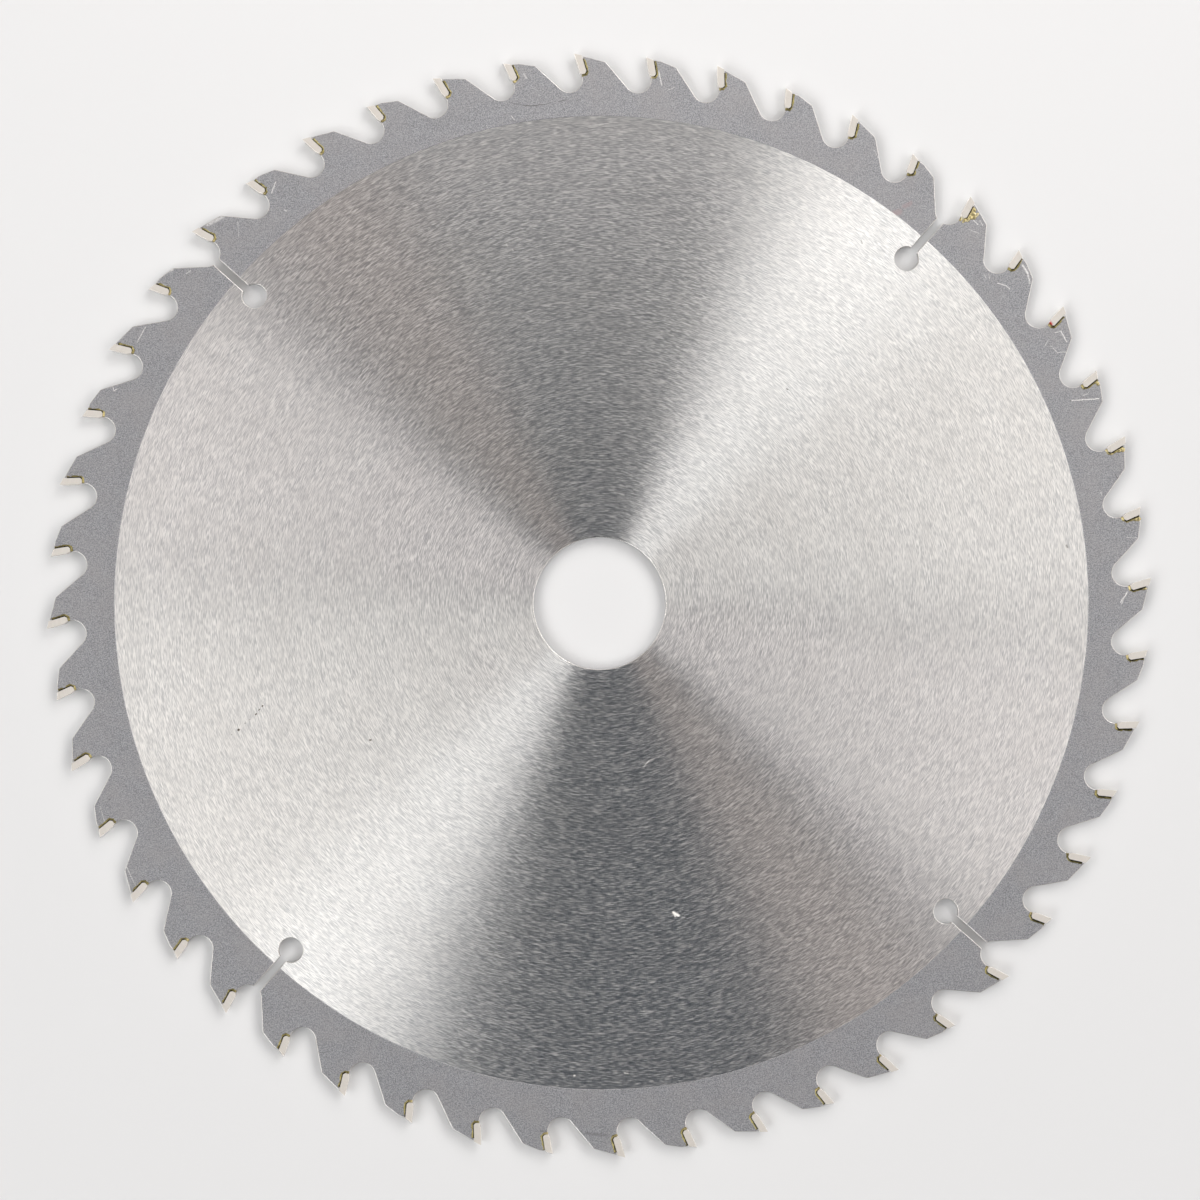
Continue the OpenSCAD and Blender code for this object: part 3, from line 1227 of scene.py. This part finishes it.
@dataclass
class TipRing:
    """The ring of imported carbide tips, with a fine break on their edges."""

    sizes: BladeSizes = field(default_factory=BladeSizes)
    edge_break: float = 0.03
    break_a: float = 20.0
    break_steps: int = 2
    join: float = 0.001

    def dress(self) -> list[bpy.types.Object]:
        """Gives every tip its finish.

        Returns:
            The tips' objects in the order of the teeth.
        """
        carbide = GroundCarbide().make()
        tips = []
        for tooth in range(1, self.sizes.teeth + 1):
            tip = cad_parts[f"tip_{tooth:02d}"]
            weld = tip.modifiers.new("weld", "WELD")
            weld.merge_threshold = self.join * MM
            bevel = tip.modifiers.new("edge_break", "BEVEL")
            bevel.width = self.edge_break * MM
            bevel.segments = self.break_steps
            bevel.limit_method = "ANGLE"
            bevel.angle_limit = math.radians(self.break_a)
            for slot in tip.material_slots:
                slot.material = carbide
            tips.append(tip)
        return tips


@dataclass(frozen=True)
class Smear:
    """A flat lump of braze on the plate beside a tip, in the tip's frame."""

    tooth: int
    back: float
    up: float
    length: float
    width: float
    height: float


@dataclass
class BrazeBeads:
    """The braze round every tip, lumpy as it froze, with smears where it ran out."""

    sizes: BladeSizes = field(default_factory=BladeSizes)
    longest: float = 0.3
    rounds: int = 4
    join: float = 0.001
    smooth_a: float = 50.0
    lag_a: float = 0.8
    lump: float = 0.09
    crest: float = 0.36
    settle: float = 0.035
    bed: float = 0.15
    skirt: float = 0.02
    heel_up: float = -3.9
    front_back: float = 1.5
    fade: float = 0.9
    gilded: dict[int, float] = field(
        default_factory=lambda: {7: 0.9, 2: 0.35, 3: 0.35, 4: 0.3, 1: 0.2}
    )
    smears: tuple[Smear, ...] = (
        Smear(7, 0.5, -5.55, 0.55, 0.30, 0.16),
        Smear(7, 1.3, -5.45, 0.60, 0.40, 0.20),
        Smear(7, 2.0, -4.90, 0.60, 0.50, 0.18),
        Smear(7, 2.3, -4.10, 0.55, 0.65, 0.18),
        Smear(7, 3.0, -3.75, 0.60, 0.45, 0.13),
        Smear(7, 2.4, -3.10, 0.60, 0.60, 0.17),
        Smear(7, 3.3, -2.90, 0.50, 0.35, 0.11),
        Smear(7, 2.2, -2.20, 0.40, 0.45, 0.14),
        Smear(2, 2.1, -2.75, 0.55, 0.42, 0.13),
        Smear(2, 2.3, -2.00, 0.55, 0.50, 0.13),
        Smear(3, 2.1, -2.90, 0.60, 0.42, 0.13),
        Smear(3, 2.3, -2.10, 0.60, 0.52, 0.13),
        Smear(4, 2.4, -2.20, 0.45, 0.50, 0.13),
        Smear(1, 2.0, -2.10, 0.60, 0.25, 0.10),
    )
    layers: tuple[BMLayerItem, ...] = field(default=(), init=False)

    def tip_place(self, point: Vector) -> tuple[int, float, float]:
        """Finds a point's tooth and its place in that tooth's tip frame.

        Args:
            point: A point in the blade's frame.

        Returns:
            The tooth's number, the distance behind the rake face and the distance up it.
        """
        s = self.sizes
        turn = math.degrees(math.atan2(point.y, point.x)) % 360
        tooth = round((turn + self.lag_a) / s.pitch_a) % s.teeth + 1
        local = turned(-s.tooth_a(tooth)) @ point
        edge = s.tip_point(0.0, 0.0)
        hook = math.radians(s.hook_a)
        x, y = local.x - edge.x, local.y - edge.y
        back = x * math.sin(hook) - y * math.cos(hook)
        up = x * math.cos(hook) + y * math.sin(hook)
        return tooth, back, up

    def off_tip(self, back: float, up: float) -> float:
        """Measures how far a point lies off the tip's back and heel.

        Args:
            back: Distance behind the rake face.
            up: Distance up the rake face.

        Returns:
            The distance, below 0 inside the tip.
        """
        s = self.sizes
        corner = ((back - s.tip_t) - (up + s.tip_len - s.heel_corner)) / math.sqrt(2)
        return max(back - s.tip_t, -s.tip_len - up, corner)

    def shape_bead(self, vert: BMVert) -> None:
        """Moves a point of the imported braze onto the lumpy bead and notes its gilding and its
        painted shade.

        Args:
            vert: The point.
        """
        s = self.sizes
        gild, crease_shade = self.layers
        tooth, back, up = self.tip_place(vert.co)
        off = self.off_tip(back, up)
        share = clamp(off / s.fillet_w)
        heel = clamp((self.heel_up - up) / self.fade)
        front = clamp((self.front_back - back) / self.fade)
        bare = 0.6 + 0.9 * noise.noise(Vector((1.7 * tooth, 0.3, 0.6)))
        vert[gild] = bare * heel * (0.25 + 0.55 * front) + self.gilded.get(tooth, 0.0)
        # Painted shade: darkest in the crease next to the tip, fading across the fillet and weaker
        # at the heel's front.
        vert[crease_shade] = (1.0 - share) * (1.0 - 0.75 * heel * front)
        side = 1 if vert.co.z > 0 else -1
        above = abs(vert.co.z) - s.plate_h
        if above < -self.join:
            return
        if above < self.join and off < s.fillet_w - self.skirt:
            vert.co.z = side * (s.plate_h - self.bed)
            return
        slow = noise.noise(vert.co * 0.9 + Vector((0, 0, 7.0 * side)))
        quick = noise.noise(vert.co * 2.6)
        rise = above * (0.95 + 0.5 * slow) - self.settle + self.lump * (0.7 * slow + 0.6 * quick)
        vert.co.z = side * (s.plate_h + min(rise, self.crest))

    def add_smear(self, bm: BMesh, smear: Smear) -> None:
        """Adds a flattened, uneven drop, half sunk in the plate.

        Args:
            bm: The beads' mesh.
            smear: Place and size of the drop.
        """
        s = self.sizes
        gild, crease_shade = self.layers
        made = bmesh.ops.create_icosphere(bm, subdivisions=3, radius=1.0)["verts"]
        bmesh.ops.scale(bm, vec=(smear.width, smear.length, smear.height), verts=made)
        for vert in made:
            swell = noise.noise(vert.co * 2.2 + Vector((smear.back, smear.up, smear.tooth)))
            vert.co *= 1.0 + 0.45 * swell
            vert[gild] = 0.75 + 0.5 * swell
            # The smears get no painted shade.
            vert[crease_shade] = 0.0
        shift = Matrix.Translation(s.tip_point(smear.back, smear.up, s.plate_h))
        place = turned(s.tooth_a(smear.tooth)) @ shift @ turned(s.hook_a - 90)
        bmesh.ops.transform(bm, matrix=place, verts=made)

    def build(self) -> BMesh:
        """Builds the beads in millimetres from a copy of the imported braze.

        Returns:
            The closed mesh.
        """
        bm = bmesh.new()
        bm.from_mesh(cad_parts["braze"].data)
        # Layers for the gilding and for the painted shade in the crease beside each tip.
        self.layers = (bm.verts.layers.float.new("gild"), bm.verts.layers.float.new("crease_shade"))
        bmesh.ops.scale(bm, vec=(1 / MM, 1 / MM, 1 / MM), verts=bm.verts)
        bmesh.ops.remove_doubles(bm, verts=bm.verts, dist=self.join)
        for _ in range(self.rounds):
            long = [e for e in bm.edges if e.calc_length() > self.longest]
            bmesh.ops.subdivide_edges(bm, edges=long, cuts=1)
            wide = [f for f in bm.faces if len(f.verts) > 3]
            bmesh.ops.triangulate(bm, faces=wide, quad_method="SHORT_EDGE", ngon_method="EAR_CLIP")
        for vert in bm.verts:
            self.shape_bead(vert)
        for smear in self.smears:
            self.add_smear(bm, smear)
        bm.normal_update()
        return bm

    def dress(self) -> bpy.types.Object:
        """Makes the beads' piece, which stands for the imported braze.

        Returns:
            The beads' object.
        """
        made = Piece.finish("braze_beads", self.build(), [BrazeMetal().make()], self.smooth_a)
        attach(made, "root")
        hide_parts("braze")
        return made


@dataclass(frozen=True)
class SoftBox:
    """A large soft lamp aimed at the middle of the blade."""

    name: str
    azimuth: float
    elevation: float
    distance: float
    width: float
    height: float
    radiance: float
    colour: Colour = (1.0, 1.0, 1.0)

    def build(self, image_turn: float) -> bpy.types.Object:
        """Builds the lamp.

        Args:
            image_turn: Angle in degrees from the blade's X to the image's right.

        Returns:
            The lamp's object.
        """
        lamp = bpy.data.lights.new(self.name, "AREA")
        lamp.shape = "RECTANGLE"
        lamp.size, lamp.size_y = self.width, self.height
        lamp.energy = self.radiance * math.pi * self.width * self.height
        lamp.color = self.colour
        made = bpy.data.objects.new(self.name, lamp)
        around = math.radians(self.azimuth + image_turn)
        above = math.radians(self.elevation)
        flat = math.cos(above)
        towards = Vector((flat * math.cos(around), flat * math.sin(around), math.sin(above)))
        made.location = self.distance * towards
        made.rotation_euler = towards.to_track_quat("Z", "Y").to_euler()
        bpy.context.scene.collection.objects.link(made)
        return made


@dataclass
class Studio:
    """Floor, lamps, surroundings and camera."""

    sizes: BladeSizes = field(default_factory=BladeSizes)
    image_turn: float = -2.656
    focal: float = 105.0
    distance: float = 0.792
    lean_down: float = 1.5
    lean_left: float = 0.42
    target: Pair = (0.00007, 0.00074)
    floor_half: float = 4.0
    sensor: float = 36.0
    horizon: Pair = (0.03, 0.12)
    low_light: Colour = (0.78, 0.78, 0.78)
    high_light: Colour = (0.014, 0.028, 0.044)
    lamps: tuple[SoftBox, ...] = (
        SoftBox("key_right", 29.5, 46.0, 2.6, 2.4, 1.5, 3.12, (1.0, 0.945, 0.885)),
        SoftBox("key_left", 209.5, 46.0, 2.6, 2.4, 1.5, 3.1, (1.0, 0.955, 0.9)),
        SoftBox("strip_right", 54.0, 46.0, 2.5, 0.7, 1.5, 0.86, (0.93, 0.98, 1.0)),
        SoftBox("strip_left", 234.0, 46.0, 2.5, 0.7, 1.5, 1.06, (0.93, 0.98, 1.0)),
        SoftBox("fill_left", 155.5, 46.0, 2.6, 1.08, 1.5, 2.36, (1.0, 0.925, 0.875)),
        SoftBox("fill_right", 335.5, 46.0, 2.6, 1.08, 1.5, 2.68, (1.0, 0.93, 0.885)),
        SoftBox("side_left", 125.0, 46.0, 2.6, 0.54, 1.5, 1.2, (1.0, 0.85, 0.75)),
        SoftBox("side_right", 305.0, 46.0, 2.6, 0.5, 1.5, 1.2, (1.0, 0.85, 0.75)),
        SoftBox("top_panel", 69.0, 87.8, 2.6, 1.5, 0.71, 0.14, (0.85, 0.94, 1.0)),
        SoftBox("north_box", 86.0, 40.0, 0.5, 0.42, 0.26, 1.78, (1.0, 0.935, 0.88)),
    )

    def build_floor(self) -> bpy.types.Object:
        """Builds the pale floor on which the lowest tips rest.

        Returns:
            The floor's object.
        """
        bm = bmesh.new()
        bmesh.ops.create_grid(bm, x_segments=4, y_segments=4, size=self.floor_half / MM)
        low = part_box("tip_01")[0][2] / MM
        bmesh.ops.translate(bm, vec=(0, 0, low), verts=bm.verts)
        floor = Piece.finish("floor", bm, [FloorPaint().make()])
        return floor

    def build_world(self) -> None:
        """Surrounds the blade with a room that is pale low down and dim overhead."""
        world = bpy.data.worlds.new("studio_room")
        bpy.context.scene.world = world
        world.use_nodes = True
        tree = world.node_tree
        coords = tree.nodes.new("ShaderNodeTexCoord")
        split = tree.nodes.new("ShaderNodeSeparateXYZ")
        ramp = tree.nodes.new("ShaderNodeValToRGB")
        low, high = ramp.color_ramp.elements
        low.position, high.position = self.horizon
        low.color, high.color = (*self.low_light, 1.0), (*self.high_light, 1.0)
        tree.links.new(coords.outputs["Generated"], split.inputs[0])
        tree.links.new(split.outputs["Z"], ramp.inputs[0])
        tree.links.new(ramp.outputs[0], tree.nodes["Background"].inputs[0])

    def build_camera(self) -> bpy.types.Object:
        """Builds the camera above the blade, leaning a little as the view does.

        Returns:
            The camera's object.
        """
        data = bpy.data.cameras.new("camera")
        data.lens = self.focal
        data.sensor_width = self.sensor
        turn = turned(self.image_turn)
        right, up = turn @ Vector((1.0, 0.0, 0.0)), turn @ Vector((0.0, 1.0, 0.0))
        face = Vector((0.0, 0.0, self.sizes.plate_h * MM))
        look = right * self.target[0] + up * self.target[1] + face
        down, left = math.radians(self.lean_down), math.radians(self.lean_left)
        away = Vector((0.0, 0.0, 1.0)) - math.tan(down) * up - math.tan(left) * right
        away.normalize()
        side = up.cross(away).normalized()
        lean = Matrix((side, away.cross(side), away)).transposed().to_4x4()
        made = bpy.data.objects.new("camera", data)
        made.matrix_world = Matrix.Translation(look + self.distance * away) @ lean
        bpy.context.scene.collection.objects.link(made)
        bpy.context.scene.camera = made
        return made

    def build(self) -> None:
        """Builds the whole studio."""
        bpy.context.scene.view_settings.view_transform = "Standard"
        self.build_floor()
        self.build_world()
        for lamp in self.lamps:
            lamp.build(self.image_turn)
        self.build_camera()


def main() -> None:
    """Builds the blade's pieces in order, then the studio."""
    logging.basicConfig(level=logging.INFO, format="%(message)s")
    plate = SawPlate().dress()
    LOG.info("%s: %d faces", plate.name, len(plate.data.polygons))
    tips = TipRing().dress()
    LOG.info("tips: %d", len(tips))
    beads = BrazeBeads().dress()
    LOG.info("%s: %d faces", beads.name, len(beads.data.polygons))
    Studio().build()


if __name__ == "__main__":
    main()
